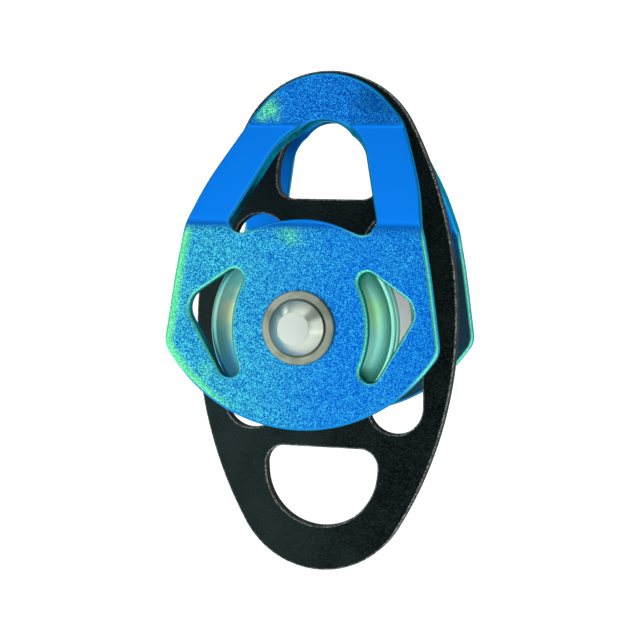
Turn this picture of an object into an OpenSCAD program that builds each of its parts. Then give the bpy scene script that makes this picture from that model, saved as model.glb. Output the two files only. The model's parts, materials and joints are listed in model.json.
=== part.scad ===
// Double rope pulley with a becket eye: two sheaves side by side on one axle, between a flat
// centre plate and two bent side plates that swing open on the axle.
// Front is -Y, the axle lies along Y, and +Z points up to the attachment eye.
// The origin is the centre of the attachment eye's round top, midway through the centre plate.

/* [Frame] */
// Distance over the outer faces of the two side plates
frame_depth = 55.3; // [54.7:0.1:56]
// Thickness of each side plate
side_t = 3.5; // [3.3:0.1:3.7]
// Thickness of the centre plate
centre_t = 4; // [3.8:0.1:4.2]
// Half the width of the plates at the axle
half_width = 36.5; // [36.3:0.1:36.6]
// Height of the attachment eye's centre above the axle
axle_drop = 40.6; // [40.3:0.1:41]

/* [Side plates] */
// Reach of a side plate above the axle
side_top = 67.3; // [67:0.1:68]
// Reach of a side plate below the axle
side_bottom = 26.6; // [26.2:0.1:26.6]
// Height above the axle where the plate starts to bend inwards, at its outer face
bend_low = 26.4; // [26.3:0.1:26.8]
// Height above the axle where the plate is upright again, at its outer face
bend_high = 53.4; // [52.5:0.1:54.5]
// Inside radius of the two bends
bend_r = 3.5; // [3:0.1:4]
// Radius of the eye's round top in a side plate
side_eye_r = 13.9; // [13.5:0.1:14.2]

/* [Centre plate] */
// Reach of the centre plate above the axle
centre_top = 68.3; // [67.8:0.1:69.5]
// Reach of the centre plate below the axle
centre_bottom = 67.8; // [67:0.1:69]
// Radius of the eye's round top in the centre plate
centre_eye_r = 14.1; // [13.9:0.1:14.2]
// Radius of the becket eye's round bottom
becket_r = 15.6; // [15.3:0.1:15.7]
// Distance of the becket eye's centre below the axle
becket_drop = 40.1; // [39.9:0.1:40.4]

/* [Sheaves] */
// Outer radius of a sheave
sheave_r = 25.1; // [24.8:0.1:25.3]
// Radius of the rope groove's round floor
groove_r = 6.8; // [6.5:0.1:7]
// Radius of the sheave at the bottom of the groove
groove_floor_r = 18.2; // [17.8:0.1:18.6]
// Side gap between a sheave and the plate next to it
sheave_gap = 0.5; // [0.4:0.05:0.6]

/* [Axle] */
// Radius of the axle's shank
axle_r = 6; // [5.6:0.1:6.2]
// Base radius of the axle's coned ends
head_r = 7.2; // [7:0.1:7.4]
// Radius of the flat on an axle end
head_flat_r = 4.2; // [4:0.1:4.6]
// Height of an axle end above its washer
head_h = 3.9; // [3.5:0.1:4.2]
// Outer radius of the washers
washer_r = 9.6; // [9.3:0.1:10]
// Thickness of the washers
washer_t = 0.9; // [0.8:0.1:1.2]
// Gap between a swinging plate and its washer
washer_gap = 0.2; // [0.15:0.05:0.3]

/* [Bearings] */
// Outer radius of a ball bearing
bearing_r = 14; // [13.8:0.1:14.3]
// Width of a ball bearing
bearing_w = 8; // [7.5:0.1:8.5]
// Radius of the balls' pitch circle
pitch_r = 10; // [9.9:0.05:10.1]
// Radius of one ball
ball_r = 2.35; // [2.3:0.01:2.36]
// Number of balls in a bearing
ball_count = 8; // [6:1:9]

/* [Hidden] */
$fn = 96;

// Farthest that a drawn arc may lie from the true one
arc_tolerance = 0.02;
// Overshoot that lets a cut clear the faces it passes through
over = 1;

// Depths are measured from the middle of the centre plate
outer_y = frame_depth / 2;
inner_y = outer_y - side_t;
centre_y = centre_t / 2;
// The upper part of a side plate lies this far off the centre plate
plate_gap = 0.3;
top_inner_y = centre_y + plate_gap;
channel_w = inner_y - centre_y;
sheave_y = (inner_y + centre_y) / 2;
sheave_w = channel_w - 2 * sheave_gap;

// Bends of the side plates
bend_angle = atan2(inner_y - top_inner_y, bend_high - bend_low);

// Round corners of the plates and their openings
crown_r = 22.7;
arm_r = 25.4;
lower_edge_r = 42.3;
lower_corner = [30.6, -4.1, 5.9];
flank_r = 170;
flank_z = -14;
flank_reach = -0.3;
shoulder_r = 61;
shoulder_z = 18.4;
shoulder_reach = -4.7;
eye_corner = [16.1, 27.5, 3.3];
eye_sill_r = 28.3;
window_corner = [24.6, 4.3, 5.2];
window_top = [17.7, 12.3, 2.4];
window_bottom = [18.8, -10.9, 2.6];
window_inner = [-7.4, -0.3, -25.6];
centre_crown_r = 26;
centre_foot_r = 24.7;
centre_eye_corner = [9.6, 38.2, 4.5];
becket_corner = [10.7, -39, 5];
crescent_r = 7.6;
crescent_top = [18.45, 21.9];
crescent_bottom = [20.25, -21.9];
hub_r = 14.5;

// Bushes, spacers and bearing parts
bush_clearance = 0.05;
bush_wall = 1.4;
bush_flange_r = 10.5;
bush_flange_t = 0.8;
spacer_r = 8.4;
spacer_gap = 0.15;
race_clearance = 0.1;
inner_ring_r = 8.4;
outer_ring_bore_r = 11.6;
shoulder_bore_r = 12.8;
seal_t = 0.6;
seal_inset = 0.3;
seal_lip_gap = 0.15;
cage_half_w = 2.9;
cage_wall = 0.8;
clip_t = 1.2;
clip_depth = 0.8;
clip_w = 1.8;
clip_gap_angle = 40;
clip_lug_r = 1.5;
clip_lug_angle = 26;
clip_lug_hole_r = 0.6;

// Sheave rim and web
rim_round_r = 0.8;
dish_depth = 1.3;
dish_outer_r = 23.6;
dish_inner_r = 16;

// Axle ends
head_rim_h = 0.7;
stem_r = 4.5;
collar_flat_r = 5.1;

// ---- Outlines ----

function point(c) = [c[0], c[1]];
function flip(c) = [-c[0], c[1], c[2]];

// Direction that faces outwards from the straight run between two circles of a belt
function run_normal(a, b) =
    let (d = point(b) - point(a))
    atan2(d[1], d[0]) - acos((a[2] - b[2]) / norm(d));

// The turn a belt makes on a circle: anticlockwise on its own circles, clockwise on pressing ones
function turn(angle, r) = r > 0 ? angle - 360 * floor(angle / 360) : angle - 360 * ceil(angle / 360);

function arc_steps(r, sweep) = max(2, ceil(abs(sweep) / (2 * acos(1 - arc_tolerance / abs(r)))));

function arc(centre, r, start, sweep) =
    let (n = arc_steps(r, sweep))
    [for (k = [0:n]) centre + r * [cos(start + sweep * k / n), sin(start + sweep * k / n)]];

// Outline of a belt pulled anticlockwise round circles [x, y, radius].
// A circle with a negative radius lies outside the belt and presses it in.
function belt(circles) =
    let (n = len(circles))
    [for (i = [0:n - 1])
        let (
            c = circles[i],
            start = run_normal(circles[(i + n - 1) % n], c),
            end = run_normal(c, circles[(i + 1) % n])
        )
        each arc(point(c), c[2], start, turn(end - start, c[2]))];

// Radius of the flank that runs smoothly from half-width w into an end of radius r at height h
function flank_radius(w, h, r) = (w * w + (h - r) * (h - r) - r * r) / (2 * (w - r));

// A quarter of the centre plate's outline, from its widest point to its end
function quarter(w, h, r) =
    let (
        side = flank_radius(w, h, r),
        angle = atan2(h - r, side - w)
    )
    concat(arc([w - side, 0], side, 0, angle), arc([0, h - r], r, angle, 90 - angle));

function reverse(points) = [for (k = [len(points) - 1:-1:0]) points[k]];

module mirrored_x() {
    children();
    mirror([1, 0, 0]) children();
}

// Raises a front view to a plate between two depths
module plate(y_from, y_to) {
    translate([0, y_to, 0]) rotate([90, 0, 0]) linear_extrude(y_to - y_from) children();
}

// Turns a profile [radius, depth] about the axle, with depth along +Y
module turned() {
    rotate([-90, 0, 0]) rotate_extrude() children();
}

// A ring or disc about the axle
module ring(r_out, r_in, y_from, y_to) {
    turned() translate([r_in, y_from]) square([r_out - r_in, y_to - y_from]);
}

module at_axle() {
    translate([0, 0, -axle_drop]) children();
}

// The rear of the pulley is the mirror image of its front
module rear() {
    mirror([0, 1, 0]) children();
}

// ---- Plates ----

module side_outline() {
    flank = [half_width + flank_reach - flank_r, flank_z, flank_r];
    shoulder = [half_width + shoulder_reach - shoulder_r, shoulder_z, shoulder_r];
    arms = [0, axle_drop, arm_r];
    polygon(belt([
        [0, lower_edge_r - side_bottom, lower_edge_r],
        lower_corner,
        flank,
        shoulder,
        arms,
        [0, side_top - crown_r, crown_r],
        arms,
        flip(shoulder),
        flip(flank),
        flip(lower_corner)
    ]));
}

module side_eye() {
    polygon(belt([[0, axle_drop, side_eye_r], flip(eye_corner), [0, 0, -eye_sill_r], eye_corner]));
}

module side_window() {
    polygon(belt([window_corner, window_top, window_inner, window_bottom]));
}

// Section of the bent plate in depth and height: upright, leaning in, and upright again.
// Both bends are arcs about one centre for the two faces.
module bent_section() {
    low_start = bend_low - (bend_r + side_t) * tan(bend_angle / 2);
    high_end = bend_high + bend_r * tan(bend_angle / 2);
    low_centre = [-inner_y + bend_r, low_start];
    high_centre = [-top_inner_y - side_t - bend_r, high_end];
    outer_face = concat(
        [[-outer_y, -side_bottom - over]],
        arc(low_centre, bend_r + side_t, 180, -bend_angle),
        reverse(arc(high_centre, bend_r, 0, -bend_angle)),
        [[-top_inner_y - side_t, side_top + over]]
    );
    inner_face = concat(
        [[-inner_y, -side_bottom - over]],
        arc(low_centre, bend_r, 180, -bend_angle),
        reverse(arc(high_centre, bend_r + side_t, 0, -bend_angle)),
        [[-top_inner_y, side_top + over]]
    );
    polygon(concat(outer_face, reverse(inner_face)));
}

module side_plate() {
    reach = half_width + over;
    color("royalblue") at_axle() difference() {
        intersection() {
            translate([-reach, 0, 0]) rotate([90, 0, 90]) linear_extrude(2 * reach) bent_section();
            plate(-outer_y - over, over) difference() {
                side_outline();
                side_eye();
                mirrored_x() side_window();
            }
        }
        ring(axle_r + bush_clearance + bush_wall, 0, -outer_y - over, -inner_y + over);
    }
}

module front_side_plate() side_plate();
module rear_side_plate() rear() side_plate();

module centre_outline() {
    upper = quarter(half_width, centre_top, centre_crown_r);
    lower = quarter(half_width, centre_bottom, centre_foot_r);
    polygon(concat(
        upper,
        [for (p = reverse(upper)) [-p[0], p[1]]],
        [for (p = lower) [-p[0], -p[1]]],
        [for (p = reverse(lower)) [p[0], -p[1]]]
    ));
}

module centre_eye() {
    polygon(belt([[0, axle_drop, centre_eye_r], flip(centre_eye_corner), centre_eye_corner]));
}

module becket_eye() {
    polygon(belt([[0, -becket_drop, becket_r], becket_corner, flip(becket_corner)]));
}

module crescent() {
    polygon(belt([
        concat(crescent_bottom, crescent_r),
        concat(crescent_top, crescent_r),
        [0, 0, -hub_r]
    ]));
}

module centre_plate() {
    color("darkslategray") at_axle() difference() {
        plate(-centre_y, centre_y) difference() {
            centre_outline();
            centre_eye();
            becket_eye();
            mirrored_x() crescent();
        }
        ring(axle_r, 0, -centre_y - over, centre_y + over);
    }
}

// ---- Axle ----

washer_face_y = outer_y + washer_gap + washer_t;

// Profile of a coned axle end from the washer outwards, as [radius, depth] with depth outwards
head_profile = [
    [head_r, washer_face_y],
    [head_r, washer_face_y + head_rim_h],
    [head_flat_r, washer_face_y + head_h],
    [0, washer_face_y + head_h]
];

module axle() {
    color("silver") at_axle() rear() turned() polygon(concat(
        [[0, -washer_face_y - head_h], [stem_r, -washer_face_y - head_h], [stem_r, -washer_face_y]],
        [[axle_r, -washer_face_y], [axle_r, washer_face_y]],
        head_profile
    ));
}

// Ring pressed on the axle's stem and riveted, which ends the rear of the axle as the head does the front
module axle_collar() {
    color("silver") at_axle() turned() polygon([
        [stem_r, washer_face_y],
        [head_r, washer_face_y],
        [head_r, washer_face_y + head_rim_h],
        [collar_flat_r, washer_face_y + head_h],
        [stem_r, washer_face_y + head_h]
    ]);
}

module washer() {
    color("silver") at_axle() ring(washer_r, axle_r, -washer_face_y, -outer_y - washer_gap);
}

module front_washer() washer();
module rear_washer() rear() washer();

// Flanged bush pressed into a side plate, which turns on the axle
module plate_bush() {
    bore = axle_r + bush_clearance;
    color("peru") at_axle() {
        ring(bore + bush_wall, bore, -outer_y, -inner_y);
        ring(bush_flange_r, bore, -inner_y, -inner_y + bush_flange_t);
    }
}

module front_plate_bush() plate_bush();
module rear_plate_bush() rear() plate_bush();

// ---- Sheaves ----

bearing_near = -sheave_y - bearing_w / 2;
bearing_far = -sheave_y + bearing_w / 2;

// Half of the sheave's section on one side of its middle, [radius, depth from the middle]
function rim_side(side) =
    let (
        half = sheave_w / 2,
        // The dish is an arc through its two edges and its deepest point
        span = dish_outer_r - dish_inner_r,
        dish_r = (span * span / 4 + dish_depth * dish_depth) / (2 * dish_depth),
        dish_centre = [(dish_outer_r + dish_inner_r) / 2, half - dish_depth + dish_r],
        dish_angle = asin(span / 2 / dish_r),
        groove_centre = groove_floor_r + groove_r,
        lip_angle = acos((sheave_r - groove_centre) / groove_r),
        lip = groove_r * sin(lip_angle),
        points = concat(
            arc(dish_centre, dish_r, 270 - dish_angle, 2 * dish_angle),
            arc([sheave_r - rim_round_r, half - rim_round_r], rim_round_r, 90, -90),
            [[sheave_r, lip]]
        )
    )
    [for (p = points) [p[0], side * p[1]]];

module sheave() {
    half = sheave_w / 2;
    color("lightgray") at_axle() translate([0, -sheave_y, 0]) difference() {
        turned() difference() {
            polygon(concat(
                [[shoulder_bore_r, -half]],
                rim_side(-1),
                reverse(rim_side(1)),
                [[shoulder_bore_r, half]]
            ));
            translate([groove_floor_r + groove_r, 0]) circle(groove_r);
        }
        ring(bearing_r, 0, -half - over, bearing_w / 2);
        ring(bearing_r + clip_depth, 0, -bearing_w / 2 - clip_t, -bearing_w / 2);
    }
}

module front_sheave() sheave();
module rear_sheave() rear() sheave();

// Snap ring in the sheave's bore, open at the bottom and with two pierced lugs for pliers
module retaining_ring() {
    lug_at = bearing_r + clip_depth - clip_w;
    y_from = bearing_near - clip_t;
    color("dimgray") at_axle() plate(y_from, bearing_near) difference() {
        union() {
            difference() {
                circle(bearing_r + clip_depth);
                circle(bearing_r + clip_depth - clip_w);
                polygon([[0, 0], 2 * bearing_r * [-sin(clip_gap_angle / 2), -cos(clip_gap_angle / 2)],
                    2 * bearing_r * [sin(clip_gap_angle / 2), -cos(clip_gap_angle / 2)]]);
            }
            for (side = [-1, 1]) translate(lug_at * [side * sin(clip_lug_angle), -cos(clip_lug_angle)]) circle(clip_lug_r);
        }
        for (side = [-1, 1]) translate(lug_at * [side * sin(clip_lug_angle), -cos(clip_lug_angle)])
            circle(clip_lug_hole_r);
    }
}

module front_retaining_ring() retaining_ring();
module rear_retaining_ring() rear() retaining_ring();

// Sleeves that set the inner ring between the centre plate and the side plate
module inboard_spacer() {
    color("gainsboro") at_axle() ring(spacer_r, axle_r, bearing_far, -centre_y);
}

module outboard_spacer() {
    end_y = -inner_y + bush_flange_t + spacer_gap;
    color("gainsboro") at_axle() ring(spacer_r, axle_r, end_y, bearing_near);
}

module front_inboard_spacer() inboard_spacer();
module rear_inboard_spacer() rear() inboard_spacer();
module front_outboard_spacer() outboard_spacer();
module rear_outboard_spacer() rear() outboard_spacer();

// ---- Bearings ----

module raceway() {
    turned() translate([pitch_r, -sheave_y]) circle(ball_r + race_clearance);
}

module bearing_outer_ring() {
    color("silver") at_axle() difference() {
        ring(bearing_r, outer_ring_bore_r, bearing_near, bearing_far);
        raceway();
    }
}

module bearing_inner_ring() {
    color("silver") at_axle() difference() {
        ring(inner_ring_r, axle_r, bearing_near, bearing_far);
        raceway();
    }
}

// One child at each ball's place
module at_balls() {
    for (k = [0:ball_count - 1])
        rotate([0, 360 * k / ball_count, 0]) translate([pitch_r, -sheave_y, 0]) children();
}

module bearing_balls() {
    color("white") at_axle() at_balls() sphere(ball_r);
}

module bearing_cage() {
    color("tan") at_axle() difference() {
        ring(pitch_r + cage_wall, pitch_r - cage_wall, -sheave_y - cage_half_w, -sheave_y + cage_half_w);
        at_balls() rotate([0, 90, 0]) cylinder(h = 4 * cage_wall, r = ball_r + race_clearance, center = true);
    }
}

module bearing_seals() {
    color("black") at_axle() for (face = [bearing_near + seal_inset, bearing_far - seal_inset - seal_t])
        ring(outer_ring_bore_r, inner_ring_r + seal_lip_gap, face, face + seal_t);
}

module front_bearing_outer_ring() bearing_outer_ring();
module rear_bearing_outer_ring() rear() bearing_outer_ring();
module front_bearing_inner_ring() bearing_inner_ring();
module rear_bearing_inner_ring() rear() bearing_inner_ring();
module front_bearing_balls() bearing_balls();
module rear_bearing_balls() rear() bearing_balls();
module front_bearing_cage() bearing_cage();
module rear_bearing_cage() rear() bearing_cage();
module front_bearing_seals() bearing_seals();
module rear_bearing_seals() rear() bearing_seals();

centre_plate();
front_side_plate();
rear_side_plate();
axle();
axle_collar();
front_washer();
rear_washer();
front_plate_bush();
rear_plate_bush();
front_sheave();
rear_sheave();
front_bearing_outer_ring();
rear_bearing_outer_ring();
front_bearing_inner_ring();
rear_bearing_inner_ring();
front_bearing_balls();
rear_bearing_balls();
front_bearing_cage();
rear_bearing_cage();
front_bearing_seals();
rear_bearing_seals();
front_retaining_ring();
rear_retaining_ring();
front_inboard_spacer();
rear_inboard_spacer();
front_outboard_spacer();
rear_outboard_spacer();
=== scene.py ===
"""Looks of the double rope pulley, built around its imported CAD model."""
import json
import math

import bmesh
import bpy
from mathutils import Matrix, Vector

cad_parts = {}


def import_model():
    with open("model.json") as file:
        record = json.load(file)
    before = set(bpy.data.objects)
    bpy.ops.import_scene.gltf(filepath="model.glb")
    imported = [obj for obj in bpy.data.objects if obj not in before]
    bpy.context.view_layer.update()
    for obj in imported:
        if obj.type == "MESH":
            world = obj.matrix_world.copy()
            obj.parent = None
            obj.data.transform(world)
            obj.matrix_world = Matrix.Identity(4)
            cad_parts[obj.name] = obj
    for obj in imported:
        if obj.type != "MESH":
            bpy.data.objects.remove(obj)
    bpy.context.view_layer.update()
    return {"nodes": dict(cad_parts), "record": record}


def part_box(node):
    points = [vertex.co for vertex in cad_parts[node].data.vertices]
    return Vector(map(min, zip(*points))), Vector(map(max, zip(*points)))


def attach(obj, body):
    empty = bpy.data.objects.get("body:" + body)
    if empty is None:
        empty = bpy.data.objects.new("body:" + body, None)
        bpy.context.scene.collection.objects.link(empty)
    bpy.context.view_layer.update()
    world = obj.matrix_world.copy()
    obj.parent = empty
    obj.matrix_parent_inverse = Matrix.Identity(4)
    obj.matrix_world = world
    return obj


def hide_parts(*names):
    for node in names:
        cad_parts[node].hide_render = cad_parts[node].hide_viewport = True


MM = 0.001
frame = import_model()


# ---- Sizes, in millimetres, heights measured from the axle ----

def node_box(node):
    """Lowest and highest corners of a CAD node, in millimetres."""
    low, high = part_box(node)
    return low / MM, high / MM


PLATE_LOW, PLATE_HIGH = node_box("front_side_plate")
CENTRE_LOW, CENTRE_HIGH = node_box("centre_plate")
SHEAVE_LOW, SHEAVE_HIGH = node_box("front_sheave")
WASHER_LOW, WASHER_HIGH = node_box("front_washer")
AXLE_LOW, AXLE_HIGH = node_box("axle")

AXLE_Z = (SHEAVE_LOW.z + SHEAVE_HIGH.z) / 2
AXLE_R = 6.0
OUTER_Y = -PLATE_LOW.y
TOP_INNER_Y = -PLATE_HIGH.y
CENTRE_T = CENTRE_HIGH.y - CENTRE_LOW.y
SIDE_T = 3.5
PLATE_TOP = PLATE_HIGH.z - AXLE_Z
PLATE_BOTTOM = AXLE_Z - PLATE_LOW.z
CENTRE_TOP = CENTRE_HIGH.z - AXLE_Z
CENTRE_BOTTOM = AXLE_Z - CENTRE_LOW.z
HALF_WIDTH = CENTRE_HIGH.x

# Round corners of the side plates: circles (x, height, radius) that a belt is pulled round
CROWN_R = 22.7
ARMS = (0, -AXLE_Z, 25.4)
LOWER_EDGE_R = 42.3
LOWER_CORNER = (30.6, -4.1, 5.9)
FLANK_R = 170
FLANK = (HALF_WIDTH - 0.3 - FLANK_R, -14, FLANK_R)
SHOULDER_R = 61
SHOULDER = (HALF_WIDTH - 4.7 - SHOULDER_R, 18.4, SHOULDER_R)
EYE_SILL = (0, 0, -28.3)
SIDE_EYE_R = 13.9
EYE_CORNER = (16.1, 27.5, 3.3)
WINDOW = ((24.6, 4.3, 5.2), (17.7, 12.3, 2.4), (-7.4, -0.3, -25.6), (18.8, -10.9, 2.6))
PLATE_BORE_R = 7.45

# Bends of the side plates
BEND_LOW = 26.4
BEND_HIGH = 53.4
BEND_R = 3.5
BEND_ANGLE = math.atan2(OUTER_Y - SIDE_T - TOP_INNER_Y, BEND_HIGH - BEND_LOW)
BEND_CUTS = 8

# Round corners of the centre plate
CENTRE_CROWN_R = 26
CENTRE_FOOT_R = 24.7
CENTRE_EYE = ((0, -AXLE_Z, 14.1), (-9.6, 38.2, 4.5), (9.6, 38.2, 4.5))
BECKET_EYE = ((0, -40.1, 15.6), (10.7, -39, 5), (-10.7, -39, 5))
CRESCENT = ((20.25, -21.9, 7.6), (18.45, 21.9, 7.6), (0, 0, -14.5))

# Rounded rims, and the border beside the outer ones
SIDE_RIM_R = 0.85
CENTRE_RIM_R = 0.5
RIM_STEPS = 5
BORDER_W = 3.2

# How closely arcs, cuts and merged points keep to the true shape
ARC_TOLERANCE = 0.01
CUT_TOLERANCE = 1e-4
MERGE_DISTANCE = 1e-5

# Sheaves
SHEAVE_Y = -(SHEAVE_LOW.y + SHEAVE_HIGH.y) / 2
SHEAVE_HALF_W = (SHEAVE_HIGH.y - SHEAVE_LOW.y) / 2
SHEAVE_R = SHEAVE_HIGH.x
GROOVE_R = 6.8
GROOVE_FLOOR_R = 18.2
BEARING_R = 14.0
BEARING_HALF_W = 4.0
BORE_SHOULDER_R = 12.8
CLIP_T = 1.2
CLIP_DEPTH = 0.8
DISH_OUTER_R = 23.6
DISH_INNER_R = 16.0
DISH_DEPTH = 1.3
RIM_ROUND_R = 0.8
BORE_CHAMFER = 0.5

# Axle ends and washers
WASHER_R = WASHER_HIGH.x
WASHER_FACE_Y = -WASHER_LOW.y
WASHER_BACK_Y = -WASHER_HIGH.y
HEAD_TOP_Y = -AXLE_LOW.y
HEAD_R = AXLE_HIGH.x
HEAD_FLAT_R = 4.2
HEAD_RIM_H = 0.7
STEM_R = 4.5
COLLAR_FLAT_R = 5.1
CENTRE_R = 0.001
TURNED_STEPS = 160
TURNED_SHARP = 28

# Patches on the blue plates: x, height, radius, strength; the green ones are painted glints, the navy one
# a darker patch
GREEN_GLINT_PATCHES = ((-16.5, 58, 6, 0.95), (-3, 24, 5, 0.6), (-25, -12, 4, 0.4))
NAVY_PATCH = (14, 60, 9, 0.55)
# Painted reflection patches on the sheaves: x, height, radius, strength, colour
SHEAVE_REFLECTION_PATCHES = (
    (-17.5, 3, 9, 0.9, (172, 190, 150)),
    (17, 4, 7, 0.8, (170, 244, 176)),
    (-20, -11, 8, 0.8, (78, 158, 200)),
)


# ---- Outlines ----

def run_normal(a, b):
    """Outward direction of the straight run between two circles of a belt."""
    along = Vector((b[0] - a[0], b[1] - a[1]))
    return math.atan2(along.y, along.x) - math.acos((a[2] - b[2]) / along.length)


def arc(centre, radius, start, sweep, drawn_radius=None):
    """Points of an arc; drawn_radius moves them in or out and keeps their number."""
    r = radius if drawn_radius is None else drawn_radius
    step = 2 * math.acos(1 - ARC_TOLERANCE / abs(radius))
    count = max(3, math.ceil(abs(sweep) / step))
    angles = [start + sweep * k / count for k in range(count + 1)]
    return [(centre[0] + r * math.cos(a), centre[1] + r * math.sin(a)) for a in angles]


def belt(circles, grow=0.0):
    """Outline of a belt pulled anticlockwise round circles (x, height, radius), then grown.
    A circle with a negative radius lies outside the belt and presses it in."""
    points = []
    for i, c in enumerate(circles):
        start = run_normal(circles[i - 1], c)
        sweep = run_normal(c, circles[(i + 1) % len(circles)]) - start
        sweep = sweep % math.tau if c[2] > 0 else -(-sweep % math.tau)
        points += arc(c[:2], c[2], start, sweep, c[2] + grow)
    return points


def flip(c):
    return (-c[0], c[1], c[2])


def mirrored(circles):
    """The same circles on the other side, in an order that keeps the belt anticlockwise."""
    return tuple(flip(c) for c in reversed(circles))


def side_outline(grow=0.0):
    bottom = (0, LOWER_EDGE_R - PLATE_BOTTOM, LOWER_EDGE_R)
    top = (0, PLATE_TOP - CROWN_R, CROWN_R)
    right = (LOWER_CORNER, FLANK, SHOULDER, ARMS)
    return belt((bottom,) + right + (top,) + mirrored(right), grow)


def quarter(w, h, r, grow):
    """A quarter of the centre plate's outline, from its widest point to its end."""
    side = (w * w + (h - r) ** 2 - r * r) / (2 * (w - r))
    angle = math.atan2(h - r, side - w)
    flank = arc((w - side, 0), side, 0, angle, side + grow)
    return flank[:-1] + arc((0, h - r), r, angle, math.pi / 2 - angle, r + grow)


def centre_outline(grow=0.0):
    upper = quarter(HALF_WIDTH, CENTRE_TOP, CENTRE_CROWN_R, grow)
    lower = quarter(HALF_WIDTH, CENTRE_BOTTOM, CENTRE_FOOT_R, grow)
    points = upper + [(-x, z) for x, z in reversed(upper[:-1])]
    points += [(-x, -z) for x, z in lower[1:]]
    return points + [(x, -z) for x, z in reversed(lower[1:-1])]


def ring_outline(radius, grow=0.0):
    return arc((0, 0), radius, 0, math.tau, radius + grow)[:-1]


# ---- The bent blank of a side plate ----

LOW_START = BEND_LOW - (BEND_R + SIDE_T) * math.tan(BEND_ANGLE / 2)
HIGH_END = BEND_HIGH + BEND_R * math.tan(BEND_ANGLE / 2)
LOW_RISE = (BEND_R + SIDE_T) * math.sin(BEND_ANGLE)
HIGH_RISE = BEND_R * math.sin(BEND_ANGLE)
SLOPE_START = LOW_START + (BEND_R + SIDE_T) * BEND_ANGLE
SLOPE_LENGTH = (HIGH_END - HIGH_RISE - LOW_START - LOW_RISE) / math.cos(BEND_ANGLE)
HIGH_START = SLOPE_START + SLOPE_LENGTH
TOP_START = HIGH_START + BEND_R * BEND_ANGLE


def blank_height(z):
    """Height on the flat blank of what ends up at height z on the bent plate's outer face."""
    if z <= LOW_START:
        return z
    if z <= LOW_START + LOW_RISE:
        return LOW_START + (BEND_R + SIDE_T) * math.asin((z - LOW_START) / (BEND_R + SIDE_T))
    if z <= HIGH_END - HIGH_RISE:
        return SLOPE_START + (z - LOW_START - LOW_RISE) / math.cos(BEND_ANGLE)
    if z <= HIGH_END:
        return TOP_START - BEND_R * math.asin((HIGH_END - z) / BEND_R)
    return TOP_START + z - HIGH_END


def bent(s, depth):
    """Depth and height of a point of the blank, at height s and that far under its outer face."""
    low_r = BEND_R + SIDE_T
    if s <= LOW_START:
        y, z, lean = -OUTER_Y, s, 0.0
    elif s <= SLOPE_START:
        lean = (s - LOW_START) / low_r
        y = -OUTER_Y + low_r * (1 - math.cos(lean))
        z = LOW_START + low_r * math.sin(lean)
    elif s <= HIGH_START:
        lean = BEND_ANGLE
        y = -OUTER_Y + low_r * (1 - math.cos(lean)) + (s - SLOPE_START) * math.sin(lean)
        z = LOW_START + LOW_RISE + (s - SLOPE_START) * math.cos(lean)
    else:
        lean = max(0.0, (TOP_START - s) / BEND_R)
        y = -TOP_INNER_Y - SIDE_T - BEND_R * (1 - math.cos(lean))
        z = HIGH_END - BEND_R * math.sin(lean) + max(0.0, s - TOP_START)
    return y + depth * math.cos(lean), z - depth * math.sin(lean)


# ---- Mesh tools ----

MASKS = ("rim", "wall", "border")


def linked(name, data):
    """A new object in the scene."""
    obj = bpy.data.objects.new(name, data)
    bpy.context.scene.collection.objects.link(obj)
    return obj


def to_mesh(name, bm):
    """Turns a bmesh into a smooth-shaded mesh."""
    mesh = bpy.data.meshes.new(name)
    bm.to_mesh(mesh)
    bm.free()
    mesh.shade_smooth()
    return mesh


def finished(name, bm, sharp_degrees=None):
    """Turns a bmesh in millimetres from the axle into a smooth-shaded object in the frame."""
    bmesh.ops.recalc_face_normals(bm, faces=bm.faces)
    to_frame = Matrix.Translation((0, 0, AXLE_Z * MM)) @ Matrix.Scale(MM, 4)
    bmesh.ops.transform(bm, matrix=to_frame, verts=bm.verts)
    mesh = to_mesh(name, bm)
    if sharp_degrees:
        mesh.set_sharp_from_angle(angle=math.radians(sharp_degrees))
    return linked(name, mesh)


def even_normals(piece):
    """Keeps large flat faces flat-shaded beside their rounded rims."""
    modifier = piece.modifiers.new("even_normals", "WEIGHTED_NORMAL")
    modifier.keep_sharp = True
    modifier.weight = 100


def wire(bm, points, y):
    """A closed loop of edges through points (x, height) at one depth."""
    verts = [bm.verts.new((x, y, z)) for x, z in points]
    return [bm.edges.new((verts[k - 1], v)) for k, v in enumerate(verts)]


def rim_profile(thickness, radius, border):
    """Steps round an edge, from the front face to the back: inset, depth, then each of MASKS.
    border is the width of the border on the face, or 0 for none."""
    on_border = 1 if border else 0
    front = [(border, 0, 0, 0, 0)] if border else []
    for k in range(RIM_STEPS + 1):
        a = math.pi / 2 * k / RIM_STEPS
        inset, depth = radius * (1 - math.sin(a)), radius * (1 - math.cos(a))
        rim = math.sin(2 * a) ** 0.5 if 0 < k < RIM_STEPS else 0
        front.append((inset, depth, rim, k / RIM_STEPS, on_border))
    back = [(inset, thickness - depth, *masks) for inset, depth, *masks in reversed(front)]
    return front + back


def raise_edge(bm, outline, side, profile):
    """Builds the rounded edge of an outline as a strip. side is -1 on an outer edge and 1 round a hole.
    Returns the strip's first and last loops of edges."""
    order = bm.verts.layers.int["order"]
    masks = [bm.verts.layers.float[name] for name in MASKS]

    def place(verts, step):
        inset, depth = step[:2]
        points = outline(side * inset)
        for v in verts:
            x, z = points[v[order]]
            v.co = (x, depth, z)
            for layer, value in zip(masks, step[2:]):
                v[layer] = value

    edges = first = wire(bm, outline(0.0), 0)
    for k, e in enumerate(edges):
        e.verts[1][order] = k
    verts = [e.verts[1] for e in edges]
    place(verts, profile[0])
    for step in profile[1:]:
        new = bmesh.ops.extrude_edge_only(bm, edges=edges)["geom"]
        edges = [g for g in new if isinstance(g, bmesh.types.BMEdge) and g.is_boundary]
        verts = [g for g in new if isinstance(g, bmesh.types.BMVert)]
        place(verts, step)
    return first, edges


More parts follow.
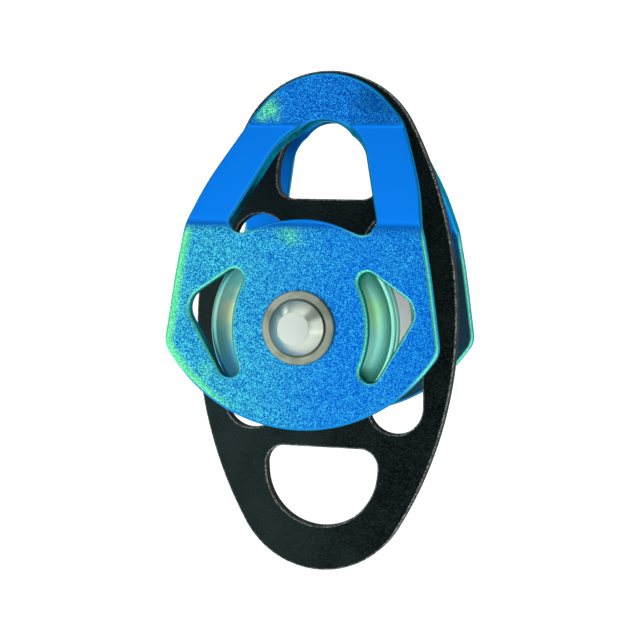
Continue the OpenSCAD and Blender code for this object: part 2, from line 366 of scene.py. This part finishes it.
def plate_mesh(edges_of_outlines, thickness, rim_r):
    """A flat plate with rounded edges, lying with its outer face at depth 0."""
    bm = bmesh.new()
    bm.verts.layers.int.new("order")
    for name in MASKS:
        bm.verts.layers.float.new(name)
    fronts, backs = [], []
    for outline, side in edges_of_outlines:
        profile = rim_profile(thickness, rim_r, BORDER_W if side < 0 else 0)
        first, last = raise_edge(bm, outline, side, profile)
        fronts += first
        backs += last
    for loops in (fronts, backs):
        bmesh.ops.triangle_fill(bm, use_beauty=True, edges=loops)
    return bm


def bend_plate(bm):
    """Bends the flat blank of a side plate along its two bend lines."""
    cuts = []
    for start, end in ((LOW_START, SLOPE_START), (HIGH_START, TOP_START)):
        cuts += [start + (end - start) * k / BEND_CUTS for k in range(BEND_CUTS + 1)]
    for s in cuts:
        whole = bm.verts[:] + bm.edges[:] + bm.faces[:]
        bmesh.ops.bisect_plane(bm, geom=whole, plane_co=(0, 0, s), plane_no=(0, 0, 1), dist=CUT_TOLERANCE)
    for v in bm.verts:
        v.co.y, v.co.z = bent(v.co.z, v.co.y)


def on_blank(outline):
    """The same outline laid out on the flat blank."""
    return lambda grow=0.0: [(x, blank_height(z)) for x, z in outline(grow)]


def to_rear(bm):
    """Mirrors a front piece to the rear."""
    bmesh.ops.scale(bm, vec=(1, -1, 1), verts=bm.verts)
    bmesh.ops.reverse_faces(bm, faces=bm.faces)


def side_plate(name, rear):
    """A bent side plate with its eye, two windows and the bore for its bush."""
    eye = ((0, -AXLE_Z, SIDE_EYE_R), flip(EYE_CORNER), EYE_SILL, EYE_CORNER)
    outlines = [(on_blank(side_outline), -1)]
    for circles in (eye, WINDOW, mirrored(WINDOW)):
        outlines.append((on_blank(lambda grow=0.0, c=circles: belt(c, grow)), 1))
    outlines.append((on_blank(lambda grow=0.0: ring_outline(PLATE_BORE_R, grow)), 1))
    bm = plate_mesh(outlines, SIDE_T, SIDE_RIM_R)
    bend_plate(bm)
    if rear:
        to_rear(bm)
    piece = finished(name, bm)
    even_normals(piece)
    return piece


def centre_plate(name):
    """The flat centre plate with its two eyes, two crescent windows and the axle's bore."""
    outlines = [(centre_outline, -1)]
    for circles in (CENTRE_EYE, BECKET_EYE, CRESCENT, mirrored(CRESCENT)):
        outlines.append((lambda grow=0.0, c=circles: belt(c, grow), 1))
    outlines.append((lambda grow=0.0: ring_outline(AXLE_R, grow), 1))
    bm = plate_mesh(outlines, CENTRE_T, CENTRE_RIM_R)
    bmesh.ops.translate(bm, vec=(0, -CENTRE_T / 2, 0), verts=bm.verts)
    piece = finished(name, bm)
    even_normals(piece)
    return piece


def turned(name, profile, rear=False):
    """Spins a closed profile of points (radius, depth) about the axle."""
    bm = bmesh.new()
    verts = [bm.verts.new((r, y, 0)) for r, y in profile]
    edges = [bm.edges.new((verts[k - 1], v)) for k, v in enumerate(verts)]
    bmesh.ops.spin(bm, geom=verts + edges, cent=(0, 0, 0), axis=(0, 1, 0), angle=math.tau,
                   steps=TURNED_STEPS, use_merge=True)
    bmesh.ops.remove_doubles(bm, verts=bm.verts, dist=MERGE_DISTANCE)
    if rear:
        to_rear(bm)
    return finished(name, bm, TURNED_SHARP)


def rounded(points, radii, steps=4):
    """A closed profile with its corners rounded by arcs of the given radii."""
    out = []
    for k, (p, r) in enumerate(zip(points, radii)):
        if not r:
            out.append(tuple(p))
            continue
        p = Vector(p)
        back = (Vector(points[k - 1]) - p).normalized()
        ahead = (Vector(points[(k + 1) % len(points)]) - p).normalized()
        half = back.angle(ahead) / 2
        start = p + back * r / math.tan(half)
        end = p + ahead * r / math.tan(half)
        centre = p + (back + ahead).normalized() * r / math.sin(half)
        for j in range(steps + 1):
            mid = (start.lerp(end, j / steps) - centre).normalized()
            out.append(tuple(centre + mid * r))
    return out


def sheave(name, rear):
    """A grooved wheel with dished sides, a shouldered bearing seat and a slot for its clip."""
    half = SHEAVE_HALF_W
    span = DISH_OUTER_R - DISH_INNER_R
    dish_r = (span * span / 4 + DISH_DEPTH ** 2) / (2 * DISH_DEPTH)
    dish_centre = ((DISH_OUTER_R + DISH_INNER_R) / 2, half - DISH_DEPTH + dish_r)
    dish_angle = math.asin(span / 2 / dish_r)
    groove_centre = GROOVE_FLOOR_R + GROOVE_R
    lip_angle = math.acos((SHEAVE_R - groove_centre) / GROOVE_R)

    def side(sign):
        bore_r = BORE_SHOULDER_R if sign > 0 else BEARING_R
        points = [(bore_r + BORE_CHAMFER, half)]
        points += arc(dish_centre, dish_r, -math.pi / 2 - dish_angle, 2 * dish_angle)
        rim_centre = (SHEAVE_R - RIM_ROUND_R, half - RIM_ROUND_R)
        points += arc(rim_centre, RIM_ROUND_R, math.pi / 2, -math.pi / 2)
        return [(r, sign * y) for r, y in points]

    groove = arc((groove_centre, 0), GROOVE_R, lip_angle, math.tau - 2 * lip_angle)
    lip = GROOVE_R * math.sin(lip_angle)
    clip_y = -BEARING_HALF_W
    bore = [
        (BEARING_R, -half + BORE_CHAMFER), (BEARING_R, clip_y - CLIP_T),
        (BEARING_R + CLIP_DEPTH, clip_y - CLIP_T), (BEARING_R + CLIP_DEPTH, clip_y),
        (BEARING_R, clip_y), (BEARING_R, BEARING_HALF_W), (BORE_SHOULDER_R, BEARING_HALF_W),
        (BORE_SHOULDER_R, half - BORE_CHAMFER),
    ]
    profile = bore + side(1) + [(SHEAVE_R, lip)] + groove[1:-1] + [(SHEAVE_R, -lip)] + side(-1)[::-1]
    profile = [(r, y - SHEAVE_Y) for r, y in profile]
    return turned(name, profile, rear)


def washer(name, rear):
    corners = [(AXLE_R, -WASHER_FACE_Y), (WASHER_R, -WASHER_FACE_Y), (WASHER_R, -WASHER_BACK_Y),
               (AXLE_R, -WASHER_BACK_Y)]
    return turned(name, rounded(corners, (0.1, 0.35, 0.2, 0)), rear)


def axle(name):
    """The pin with its coned head, and the stem at the rear that its collar is riveted on."""
    corners = [
        (CENTRE_R, -HEAD_TOP_Y), (HEAD_FLAT_R, -HEAD_TOP_Y), (HEAD_R, -WASHER_FACE_Y - HEAD_RIM_H),
        (HEAD_R, -WASHER_FACE_Y), (AXLE_R, -WASHER_FACE_Y), (AXLE_R, WASHER_FACE_Y),
        (STEM_R, WASHER_FACE_Y), (STEM_R, HEAD_TOP_Y), (CENTRE_R, HEAD_TOP_Y),
    ]
    return turned(name, rounded(corners, (0, 0.25, 0.2, 0, 0, 0, 0, 0.2, 0)))


def axle_collar(name):
    corners = [
        (STEM_R, WASHER_FACE_Y), (HEAD_R, WASHER_FACE_Y), (HEAD_R, WASHER_FACE_Y + HEAD_RIM_H),
        (COLLAR_FLAT_R, HEAD_TOP_Y), (STEM_R, HEAD_TOP_Y),
    ]
    return turned(name, rounded(corners, (0, 0, 0.2, 0.2, 0.15)))


# ---- Materials ----

def srgb(r, g, b):
    """A colour from 0-255 values, in the linear form that shaders take."""
    levels = (c / 255 for c in (r, g, b))
    return tuple(v / 12.92 if v <= 0.0393 else ((v + 0.055) / 1.055) ** 2.4 for v in levels) + (1,)


# Blasted blue, as dark and bright facets: on the right, on the left, where painted light from the left
# makes it lighter and greener, and above the bends
BLUE_RIGHT = (srgb(0, 80, 188), srgb(40, 166, 232))
BLUE_LIT_LEFT = (srgb(0, 98, 162), srgb(88, 222, 222))
BLUE_ABOVE = (srgb(0, 62, 166), srgb(40, 164, 236))
# Painted glints: green facets for the glint patches
GLINT_GREEN = (srgb(16, 140, 140), srgb(130, 250, 176))
# Painted reflection of light from the left, on the border of the left flank
LIME_REFLECTION = (srgb(66, 204, 128), srgb(150, 250, 150))
# Painted highlight on the rims of the upright flanks
MINT_HIGHLIGHT = (srgb(74, 210, 176), srgb(150, 255, 200))
NAVY = srgb(2, 54, 112)
BLUE_SHEEN = srgb(130, 205, 235)
# Painted light on the bends and slope, shown plain without sparkle
SLOPE_LIT_BLUE = srgb(11, 113, 214)
# Painted highlight on the other rims
RIM_HIGHLIGHT_BLUE = srgb(36, 150, 226)
# Painted shade on the inner face of the lower part
INNER_FACE_SHADE = srgb(52, 80, 80)
# Cut edges of the upright flanks, and of the arms and the round bottom, in painted shade that is darker
# on the arms
FLANK_CUT_SHADE = (srgb(16, 96, 132), srgb(70, 176, 190))
ARM_CUT_SHADE = (srgb(8, 92, 104), srgb(30, 150, 150))

BLACK = (srgb(5, 12, 10), srgb(34, 46, 47))
BLACK_SPECK = srgb(42, 56, 55)
BLACK_WALL_SHADE = srgb(8, 12, 11)
DUST = srgb(90, 100, 98)
RIM_HIGHLIGHT_GREY = srgb(150, 162, 158)

CONE_STEEL = (srgb(150, 162, 148), srgb(206, 216, 204))
FLAT_STEEL = (srgb(166, 176, 169), srgb(174, 184, 177))
WASHER_STEEL = (srgb(112, 122, 108), srgb(158, 168, 152))
SMUDGE = srgb(84, 92, 80)
GAP_SHADE = srgb(48, 54, 48)

# Painted reflection of the blue plates on the sheave sides, lighter on the right
TEAL_REFLECTION_LEFT = (srgb(78, 150, 152), srgb(112, 186, 180))
TEAL_REFLECTION_RIGHT = (srgb(128, 212, 194), srgb(166, 242, 222))
GROOVE_PALE = (srgb(226, 230, 228), srgb(244, 248, 246))

BEARING_STEEL = (srgb(190, 194, 198), srgb(232, 234, 236))
SPRING_STEEL = (srgb(34, 35, 37), srgb(62, 63, 66))
BRONZE = (srgb(140, 104, 58), srgb(196, 156, 98))
SEAL_RUBBER = (srgb(14, 14, 15), srgb(30, 30, 31))
CAGE_PLASTIC = (srgb(178, 156, 108), srgb(206, 186, 140))

# Zones of the blue plates: the x or height where each one starts, and where it is full
LEFT_LIGHT_X = (20, -26)
LEFT_LIGHT_HEIGHT = (46, 30)
ABOVE_BENDS = (46, 54)
LEFT_REFLECTION_X = (-14, -28)
LEFT_REFLECTION_HEIGHT = (29, 22)
INNER_SHADE_DEPTH = (OUTER_Y - 0.4 * SIDE_T, OUTER_Y - 0.9 * SIDE_T)
INNER_SHADE_HEIGHT = (24, 14)
FLANK_BOTTOM = (-18, -10)
FLANK_TOP = (27, 22)
FLAT_FACING = (0.93, 0.995)
# Zones of the axle ends, by radius
ON_WASHER = (HEAD_R, HEAD_R + 0.1)
ON_FLAT = (HEAD_FLAT_R + 0.1, HEAD_FLAT_R - 0.1)
GAP_SHADE_INSIDE = (HEAD_R - 0.25, HEAD_R - 0.05)
GAP_SHADE_OUTSIDE = (HEAD_R + 0.6, HEAD_R + 0.2)
# Zones of the sheaves
BEYOND_GROOVE = (GROOVE_R, GROOVE_R + 0.4)
SHEAVE_LIT_RIGHT = (-10, 10)

# Sizes of facets and turning marks and their depth, in millimetres
BLUE_FACET = 0.21
BLACK_FACET = 0.35
FACET_DEPTH = 0.03
AXLE_PITCH = 0.3
SHEAVE_PITCH = 0.5
BEARING_PITCH = 0.4
RING_DEPTH = 0.02


class Nodes:
    """Short forms for building a node tree."""

    def __init__(self, tree):
        self.tree = tree

    def add(self, kind, inputs=None, **settings):
        node = self.tree.nodes.new(kind)
        for key, value in settings.items():
            setattr(node, key, value)
        for key, value in (inputs or {}).items():
            self.put(node.inputs[key], value)
        return node

    def put(self, socket, value):
        if isinstance(value, bpy.types.NodeSocket):
            self.tree.links.new(value, socket)
        else:
            socket.default_value = value

    def math(self, operation, a, b=0.0, clamp=False):
        return self.add("ShaderNodeMath", {0: a, 1: b}, operation=operation, use_clamp=clamp).outputs[0]

    def plus(self, a, b, clamp=False):
        return self.math("ADD", a, b, clamp)

    def minus(self, a, b):
        return self.math("SUBTRACT", a, b)

    def times(self, a, b):
        return self.math("MULTIPLY", a, b)

    def over(self, a, b):
        return self.math("DIVIDE", a, b)

    def length(self, a, b):
        return self.math("SQRT", self.plus(self.math("POWER", a, 2.0), self.math("POWER", b, 2.0)))

    def ramp(self, value, low, high):
        """0 at low, 1 at high, smooth between."""
        node = self.add("ShaderNodeMapRange", {"Value": value, "From Min": low, "From Max": high},
                        interpolation_type="SMOOTHSTEP")
        return node.outputs[0]

    def mix(self, factor, a, b):
        """Colour a where factor is 0 and b where it is 1."""
        node = self.add("ShaderNodeMix", data_type="RGBA")
        self.put(node.inputs["Factor"], factor)
        self.put(node.inputs[6], a)
        self.put(node.inputs[7], b)
        return node.outputs[2]

    def noise(self, vector, size_mm, detail=2.0, roughness=0.5):
        node = self.add("ShaderNodeTexNoise", {"Vector": vector, "Scale": 1 / (size_mm * MM),
                                                "Detail": detail, "Roughness": roughness})
        return node.outputs["Fac"]

    def attribute(self, name):
        return self.add("ShaderNodeAttribute", attribute_name=name).outputs["Fac"]

    def split(self, vector):
        return self.add("ShaderNodeSeparateXYZ", {0: vector}).outputs

    def millimetres(self, place):
        """x, depth either way from the middle and height above the axle, in millimetres."""
        parts = self.split(place)
        depth = self.over(self.math("ABSOLUTE", parts[1]), MM)
        return self.over(parts[0], MM), depth, self.over(self.minus(parts[2], AXLE_Z * MM), MM)

    def use(self, tree, vector, **values):
        """Places a shader group with its own values, and gives its outputs."""
        node = self.add("ShaderNodeGroup", node_tree=tree)
        self.put(node.inputs["Vector"], vector)
        for key, value in values.items():
            self.put(node.inputs[key.replace("_", " ")], value)
        return node.outputs


def group(name, inputs, outputs):
    """A new shader group with a vector input, float inputs {name: default} and float outputs."""
    tree = bpy.data.node_groups.new(name, "ShaderNodeTree")
    tree.interface.new_socket("Vector", in_out="INPUT", socket_type="NodeSocketVector")
    for key, default in inputs.items():
        socket = tree.interface.new_socket(key, in_out="INPUT", socket_type="NodeSocketFloat")
        socket.default_value = default
    for key in outputs:
        tree.interface.new_socket(key, in_out="OUTPUT", socket_type="NodeSocketFloat")
    n = Nodes(tree)
    return n, n.add("NodeGroupInput").outputs, n.add("NodeGroupOutput").inputs


def blast_group():
    """Bead-blasted grain: tiny facets that are bright or dark at random, and their height."""
    n, given, out = group("blasted_grain", {"Facet mm": 0.3}, ("Specks", "Height"))
    grain = {"Vector": given["Vector"], "Scale": n.over(1 / MM, given["Facet mm"])}
    cells = n.add("ShaderNodeTexVoronoi", grain)
    chance = n.add("ShaderNodeSeparateColor", {0: cells.outputs["Color"]}).outputs[0]
    soft = n.add("ShaderNodeTexNoise", {**grain, "Detail": 2.0}).outputs[0]
    facets = n.plus(n.times(chance, 0.8), n.times(n.ramp(soft, 0.3, 0.7), 0.2))
    n.put(out["Specks"], n.math("POWER", n.ramp(facets, 0.2, 0.9), 1.6))
    n.put(out["Height"], facets)
    return n.tree


def spot_group():
    """A soft round patch about a place in the frame, in millimetres from the axle."""
    n, given, out = group("soft_patch", {"X": 0.0, "Height": 0.0, "Radius": 4.0}, ("Patch",))
    x, _, height = n.millimetres(given["Vector"])
    away = n.length(n.minus(x, given["X"]), n.minus(height, given["Height"]))
    ragged = n.minus(n.noise(given["Vector"], 3.0), 0.5)
    n.put(out["Patch"], n.ramp(n.plus(n.over(away, given["Radius"]), ragged), 1.0, 0.2))
    return n.tree


def turning_group():
    """Fine rings left by turning about the axle, and the distance from the axle."""
    n, given, out = group("turned_rings", {"Pitch mm": 0.25}, ("Rings", "Radius"))
    x, depth, height = n.millimetres(given["Vector"])
    radius = n.length(x, height)
    turns = n.over(n.plus(radius, depth), given["Pitch mm"])
    rings = n.add("ShaderNodeTexNoise", {"W": turns, "Scale": 1.0, "Detail": 3.0}, noise_dimensions="1D")
    n.put(out["Rings"], rings.outputs["Fac"])
    n.put(out["Radius"], radius)
    return n.tree


def new_material(name, **plain):
    """A material with a Principled shader, whose plain values are set on its own sockets."""
    material = bpy.data.materials.new(name)
    material.use_nodes = True
    n = Nodes(material.node_tree)
    shader = material.node_tree.nodes["Principled BSDF"].inputs
    for key, value in plain.items():
        shader[key.replace("_", " ")].default_value = value
    return material, n, shader, n.add("ShaderNodeTexCoord").outputs


def bump(n, shader, height, strength, distance_mm):
    """Fine relief of the given height map, as deep as distance_mm."""
    inputs = {"Strength": strength, "Distance": distance_mm * MM, "Height": height}
    n.put(shader["Normal"], n.add("ShaderNodeBump", inputs).outputs[0])


def patch(n, spot, place, x, height, radius, strength):
    """How much a soft patch covers, from 0 to its strength."""
    mask = n.use(spot, place, X=x, Height=height, Radius=radius)["Patch"]
    return n.times(mask, strength)


def blue_anodised(blast, spot):
    """Sparkling blasted faces, with painted light: plain bends, cut edges in painted teal shade, painted
    mint highlights on the flank rims, painted green glints and a painted lime reflection on the left.
    """
    material, n, shader, where = new_material("blue_anodised", Metallic=1.0, Specular_Tint=BLUE_SHEEN)
    place = where["Object"]
    x, depth, height = n.millimetres(place)
    flat = n.ramp(n.math("ABSOLUTE", n.split(where["Normal"])[1]), *FLAT_FACING)
    rim, wall, border = (n.attribute(name) for name in MASKS)
    specks = n.use(blast, place, Facet_mm=BLUE_FACET)["Specks"]

    # Painted light: cyan on the left, where light from the left falls; deeper blue on the right and above
    # the bends
    low_part = n.plus(n.times(n.ramp(height, *LEFT_LIGHT_HEIGHT), 0.75), 0.25)
    left = n.times(n.ramp(x, *LEFT_LIGHT_X), low_part)
    clouds = n.ramp(n.noise(place, 14), 0.40, 0.72)
    tint = n.plus(n.times(left, 0.8), n.times(clouds, 0.2), clamp=True)
    above = n.ramp(height, *ABOVE_BENDS)
    dark, bright = (n.mix(above, n.mix(tint, right, cyan), top)
                    for right, cyan, top in zip(BLUE_RIGHT, BLUE_LIT_LEFT, BLUE_ABOVE))
    blasted = n.mix(specks, dark, bright)

    # Painted green glints and a navy patch, and a painted lime reflection on the border of the left flank
    green_glint = n.mix(specks, *GLINT_GREEN)
    for row in GREEN_GLINT_PATCHES:
        blasted = n.mix(patch(n, spot, place, *row), blasted, green_glint)
    blasted = n.mix(patch(n, spot, place, *NAVY_PATCH), blasted, NAVY)
    left_flank = n.times(n.ramp(x, *LEFT_REFLECTION_X), n.ramp(height, *LEFT_REFLECTION_HEIGHT))
    left_border_reflection = n.times(n.math("POWER", border, 1.1), left_flank)
    blasted = n.mix(left_border_reflection, blasted, n.mix(specks, *LIME_REFLECTION))
    # Faces turned away from the front take this painted plain light instead of the sparkle
    face = n.mix(flat, SLOPE_LIT_BLUE, blasted)

    # Painted shade: the inner face of the lower part is darker and greener
    inner_shade = n.times(n.ramp(depth, *INNER_SHADE_DEPTH), n.ramp(height, *INNER_SHADE_HEIGHT))
    face = n.mix(n.times(inner_shade, 0.85), face, INNER_FACE_SHADE)

    # Cut edges in painted shade, and rims with a painted highlight that is mint on the upright flanks and
    # plain blue on the rest
    upright = n.times(n.ramp(height, *FLANK_BOTTOM), n.ramp(height, *FLANK_TOP))
    coarse = n.ramp(n.noise(place, 0.5, 3), 0.35, 0.7)
    edge = n.mix(wall, face, n.mix(upright, n.mix(coarse, *ARM_CUT_SHADE), n.mix(coarse, *FLANK_CUT_SHADE)))
    shine = n.mix(upright, RIM_HIGHLIGHT_BLUE, n.mix(specks, *MINT_HIGHLIGHT))
    rim_share = n.times(rim, n.plus(n.times(upright, 0.4), 0.5))
    n.put(shader["Base Color"], n.mix(rim_share, edge, shine))
    n.put(shader["Roughness"], n.plus(n.times(flat, 0.1), 0.34))
    bump(n, shader, specks, n.times(flat, 0.4), FACET_DEPTH)
    return material


def black_anodised(blast):
    """Satin black with cloudy tone that is painted lighter towards the left, specks of dust, painted
    shade on the walls and a speckled painted highlight on the rims.
    """
    material, n, shader, where = new_material("black_anodised", IOR=1.06)
    place = where["Object"]
    rim, wall = n.attribute("rim"), n.attribute("wall")
    grain = n.use(blast, place, Facet_mm=BLACK_FACET)
    x = n.over(n.split(place)[0], MM)
    # Painted light: the clouds are made lighter towards the left
    clouds = n.plus(n.times(n.noise(place, 9, 4), 0.7), n.times(n.ramp(x, 30, -30), 0.45))
    base = n.mix(n.ramp(clouds, 0.2, 0.95), *BLACK)
    base = n.mix(n.times(grain["Specks"], 0.45), base, BLACK_SPECK)
    dust = n.ramp(n.noise(place, 0.8), 0.72, 0.8)
    base = n.mix(n.times(dust, 0.4), base, DUST)
    # Painted shade on the walls
    base = n.mix(n.times(wall, 0.8), base, BLACK_WALL_SHADE)
    # Painted highlight on the rims, speckled with the grain
    rim_highlight = n.times(rim, n.plus(n.times(grain["Specks"], 0.8), 0.15))
    n.put(shader["Base Color"], n.mix(rim_highlight, base, RIM_HIGHLIGHT_GREY))
    n.put(shader["Roughness"], n.plus(n.times(grain["Height"], 0.2), 0.38))
    bump(n, shader, grain["Height"], 0.3, FACET_DEPTH)
    return material


def turned_steel(turning):
    """Bright coned axle ends on duller washers, with a painted dark line of shade where they meet."""
    material, n, shader, where = new_material("turned_steel", Metallic=1.0)
    place = where["Object"]
    rings, radius = n.use(turning, place, Pitch_mm=AXLE_PITCH)
    on_washer = n.ramp(radius, *ON_WASHER)
    on_flat = n.ramp(radius, *ON_FLAT)
    base = n.mix(on_washer, n.mix(rings, *CONE_STEEL), n.mix(rings, *WASHER_STEEL))
    base = n.mix(on_flat, base, n.mix(rings, *FLAT_STEEL))
    smudge = n.times(n.ramp(n.noise(place, 5, 3), 0.4, 0.7), on_washer)
    base = n.mix(n.times(smudge, 0.6), base, SMUDGE)
    # Painted shade in the gap where the head meets the washer
    gap_shade = n.times(n.ramp(radius, *GAP_SHADE_INSIDE), n.ramp(radius, *GAP_SHADE_OUTSIDE))
    n.put(shader["Base Color"], n.mix(n.times(gap_shade, 0.75), base, GAP_SHADE))
    n.put(shader["Roughness"], n.plus(n.times(on_washer, 0.12), 0.28))
    bump(n, shader, rings, 0.25, RING_DEPTH)
    return material


def bare_aluminium(turning, spot):
    """Turned sides with a painted teal reflection of the blue plates, painted lighter on the right,
    painted reflection patches in warm, mint and blue, and a pale, duller rope groove.
    """
    material, n, shader, where = new_material("bare_aluminium")
    place = where["Object"]
    rings = n.use(turning, place, Pitch_mm=SHEAVE_PITCH)["Rings"]
    x, depth, _ = n.millimetres(place)
    from_middle = n.math("ABSOLUTE", n.minus(depth, SHEAVE_Y))
    side = n.ramp(from_middle, *BEYOND_GROOVE)
    # Painted reflection: teal from the blue plates, lighter on the right
    right = n.ramp(x, *SHEAVE_LIT_RIGHT)
    teal_reflection = n.mix(rings, *(n.mix(right, *pair) for pair in zip(TEAL_REFLECTION_LEFT, TEAL_REFLECTION_RIGHT)))
    # Painted reflection patches, warm, mint and blue
    for *row, colour in SHEAVE_REFLECTION_PATCHES:
        teal_reflection = n.mix(patch(n, spot, place, *row), teal_reflection, srgb(*colour))
    n.put(shader["Base Color"], n.mix(side, n.mix(rings, *GROOVE_PALE), teal_reflection))
    n.put(shader["Metallic"], n.plus(n.times(side, 0.65), 0.35))
    n.put(shader["Roughness"], n.minus(0.5, n.times(side, 0.12)))
    bump(n, shader, rings, 0.12, RING_DEPTH)
    return material


def bearing_steel(turning):
    """Ground and polished bearing rings and balls."""
    material, n, shader, where = new_material("bearing_steel", Metallic=1.0)
    place = where["Object"]
    rings = n.use(turning, place, Pitch_mm=BEARING_PITCH)["Rings"]
    n.put(shader["Base Color"], n.mix(rings, *BEARING_STEEL))
    n.put(shader["Roughness"], n.plus(n.times(n.noise(place, 6, 3), 0.048), 0.096))
    bump(n, shader, rings, 0.1, RING_DEPTH)
    return material


def dull(name, colours, size_mm, roughness, metallic=0.0):
    """A plain finish with fine mottling of the given size."""
    material, n, shader, where = new_material(name, Metallic=metallic)
    spots = n.noise(where["Object"], size_mm, 4, 0.6)
    n.put(shader["Base Color"], n.mix(spots, *colours))
    n.put(shader["Roughness"], n.plus(n.times(spots, 0.2), roughness - 0.1))
    bump(n, shader, spots, 0.2, FACET_DEPTH)
    return material


def make_materials():
    blast, turning, spot = blast_group(), turning_group(), spot_group()
    return {
        "blue_anodised": blue_anodised(blast, spot),
        "black_anodised": black_anodised(blast),
        "turned_steel": turned_steel(turning),
        "bare_aluminium": bare_aluminium(turning, spot),
        "bearing_steel": bearing_steel(turning),
        "spring_steel": dull("spring_steel", SPRING_STEEL, 0.6, 0.45, metallic=1.0),
        "bronze": dull("bronze", BRONZE, 0.5, 0.5, metallic=1.0),
        "seal_rubber": dull("seal_rubber", SEAL_RUBBER, 0.8, 0.7),
        "cage_plastic": dull("cage_plastic", CAGE_PLASTIC, 0.9, 0.5),
    }


# ---- Assembly ----

materials = make_materials()
slots = {row["node"]: row["material_slot"] for row in frame["record"]["subparts"]}
bodies = frame["record"]["behaviour"]["bodies"]
body_of_node = {node: body for body, nodes in bodies.items() for node in nodes}


def paint(piece, slot):
    piece.data.materials.clear()
    piece.data.materials.append(materials[slot])


def stand_in(piece, node):
    """The piece is shown for a CAD node, rides on its body and takes its material."""
    paint(piece, slots[node])
    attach(piece, body_of_node[node])
    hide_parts(node)


for cad_node, cad_piece in frame["nodes"].items():
    paint(cad_piece, slots[cad_node])

stand_in(centre_plate("centre_plate_body"), "centre_plate")
for place, is_rear in (("front", False), ("rear", True)):
    stand_in(side_plate(place + "_cheek", is_rear), place + "_side_plate")
    stand_in(sheave(place + "_grooved_wheel", is_rear), place + "_sheave")
    stand_in(washer(place + "_end_washer", is_rear), place + "_washer")
stand_in(axle("axle_pin"), "axle")
stand_in(axle_collar("riveted_collar"), "axle_collar")


# ---- Studio ----

CAMERA_AZIMUTH = 14.95
CAMERA_ELEVATION = 3.07
CAMERA_ROLL = 1.21
CAMERA_DISTANCE = 0.4505
CAMERA_AIM = Vector((-0.0017, 0, AXLE_Z * MM + 0.0007))
CAMERA_LENS = 92.7
SENSOR_WIDTH = 36
WORLD_LEVEL = 0.4

# The floor and the wall behind, in metres
FLOOR_DROP = 0.30
FLOOR_REACH = 1.6
FLOOR_HALF_WIDTH = 2.5
FLOOR_CURVE_R = 0.5
FLOOR_CURVE_STEPS = 12
WALL_HEIGHT = 2.2
FLOOR_GREY = 0.9
FLOOR_GLOW = 0.55

# Lights: name, azimuth, elevation, distance, (width, height), brightness beside white paper's
SOFTBOXES = (
    ("key", -26, 4, 1.0, (0.75, 0.8), 1.35),
    ("overhead", -5, 66, 0.8, (0.9, 0.5), 1.25),
    ("right_strip", 84, 5, 0.7, (0.35, 0.6), 1.15),
    ("upper_left", -91, 45, 0.7, (0.14, 0.16), 2.6),
    ("left_strip", -95, 0, 0.7, (0.2, 0.7), 2.0),
)


def direction(azimuth, elevation):
    """From the object towards a viewer at these angles in degrees."""
    a, e = math.radians(azimuth), math.radians(elevation)
    return Vector((math.sin(a) * math.cos(e), -math.cos(a) * math.cos(e), math.sin(e)))


def camera():
    data = bpy.data.cameras.new("camera")
    data.lens = CAMERA_LENS
    data.sensor_width = SENSOR_WIDTH
    data.clip_start = 0.01
    obj = linked("camera", data)
    back = direction(CAMERA_AZIMUTH, CAMERA_ELEVATION)
    roll = math.radians(CAMERA_ROLL)
    right = back.cross(Vector((0, 0, -1))).normalized()
    up = back.cross(right)
    across = right * math.cos(roll) + up * math.sin(roll)
    upward = up * math.cos(roll) - right * math.sin(roll)
    turn = Matrix((across, upward, back)).transposed().to_4x4()
    obj.matrix_world = Matrix.Translation(CAMERA_AIM + back * CAMERA_DISTANCE) @ turn
    bpy.context.scene.camera = obj


def softbox(name, azimuth, elevation, distance, size, level):
    """A rectangular light that faces the axle."""
    data = bpy.data.lights.new(name, "AREA")
    data.shape = "RECTANGLE"
    data.size, data.size_y = size
    data.energy = level * math.pi * size[0] * size[1]
    obj = linked(name, data)
    back = direction(azimuth, elevation)
    obj.location = back * distance + Vector((0, 0, AXLE_Z * MM))
    obj.rotation_euler = back.to_track_quat("Z", "Y").to_euler()


def floor_material():
    material = bpy.data.materials.new("floor")
    material.use_nodes = True
    shader = material.node_tree.nodes["Principled BSDF"].inputs
    shader["Base Color"].default_value = (FLOOR_GREY, FLOOR_GREY, FLOOR_GREY, 1)
    shader["Roughness"].default_value = 0.9
    shader["Specular IOR Level"].default_value = 0.0
    shader["Emission Color"].default_value = (1, 1, 1, 1)
    shader["Emission Strength"].default_value = FLOOR_GLOW
    return material


def backdrop():
    """A pale floor that curves up into a wall behind."""
    bm = bmesh.new()
    floor_z = PLATE_LOW.z * MM - FLOOR_DROP
    bend = (FLOOR_REACH - FLOOR_CURVE_R, floor_z + FLOOR_CURVE_R)
    profile = [(-FLOOR_REACH, floor_z), (bend[0], floor_z)]
    for k in range(1, FLOOR_CURVE_STEPS + 1):
        t = math.pi / 2 * k / FLOOR_CURVE_STEPS
        profile.append((bend[0] + FLOOR_CURVE_R * math.sin(t), bend[1] - FLOOR_CURVE_R * math.cos(t)))
    profile.append((FLOOR_REACH, floor_z + WALL_HEIGHT))
    verts = [bm.verts.new((-FLOOR_HALF_WIDTH, y, z)) for y, z in profile]
    edges = [bm.edges.new(pair) for pair in zip(verts, verts[1:])]
    new = bmesh.ops.extrude_edge_only(bm, edges=edges)["geom"]
    moved = [g for g in new if isinstance(g, bmesh.types.BMVert)]
    bmesh.ops.translate(bm, vec=(2 * FLOOR_HALF_WIDTH, 0, 0), verts=moved)
    obj = linked("floor", to_mesh("floor", bm))
    obj.data.materials.append(floor_material())


def world():
    studio = bpy.data.worlds.new("studio")
    studio.use_nodes = True
    background = studio.node_tree.nodes["Background"].inputs
    background["Color"].default_value = (1, 1, 1, 1)
    background["Strength"].default_value = WORLD_LEVEL
    bpy.context.scene.world = studio


camera()
backdrop()
world()
for row in SOFTBOXES:
    softbox(*row)

view = bpy.context.scene.view_settings
view.view_transform = "Standard"
view.look = "None"
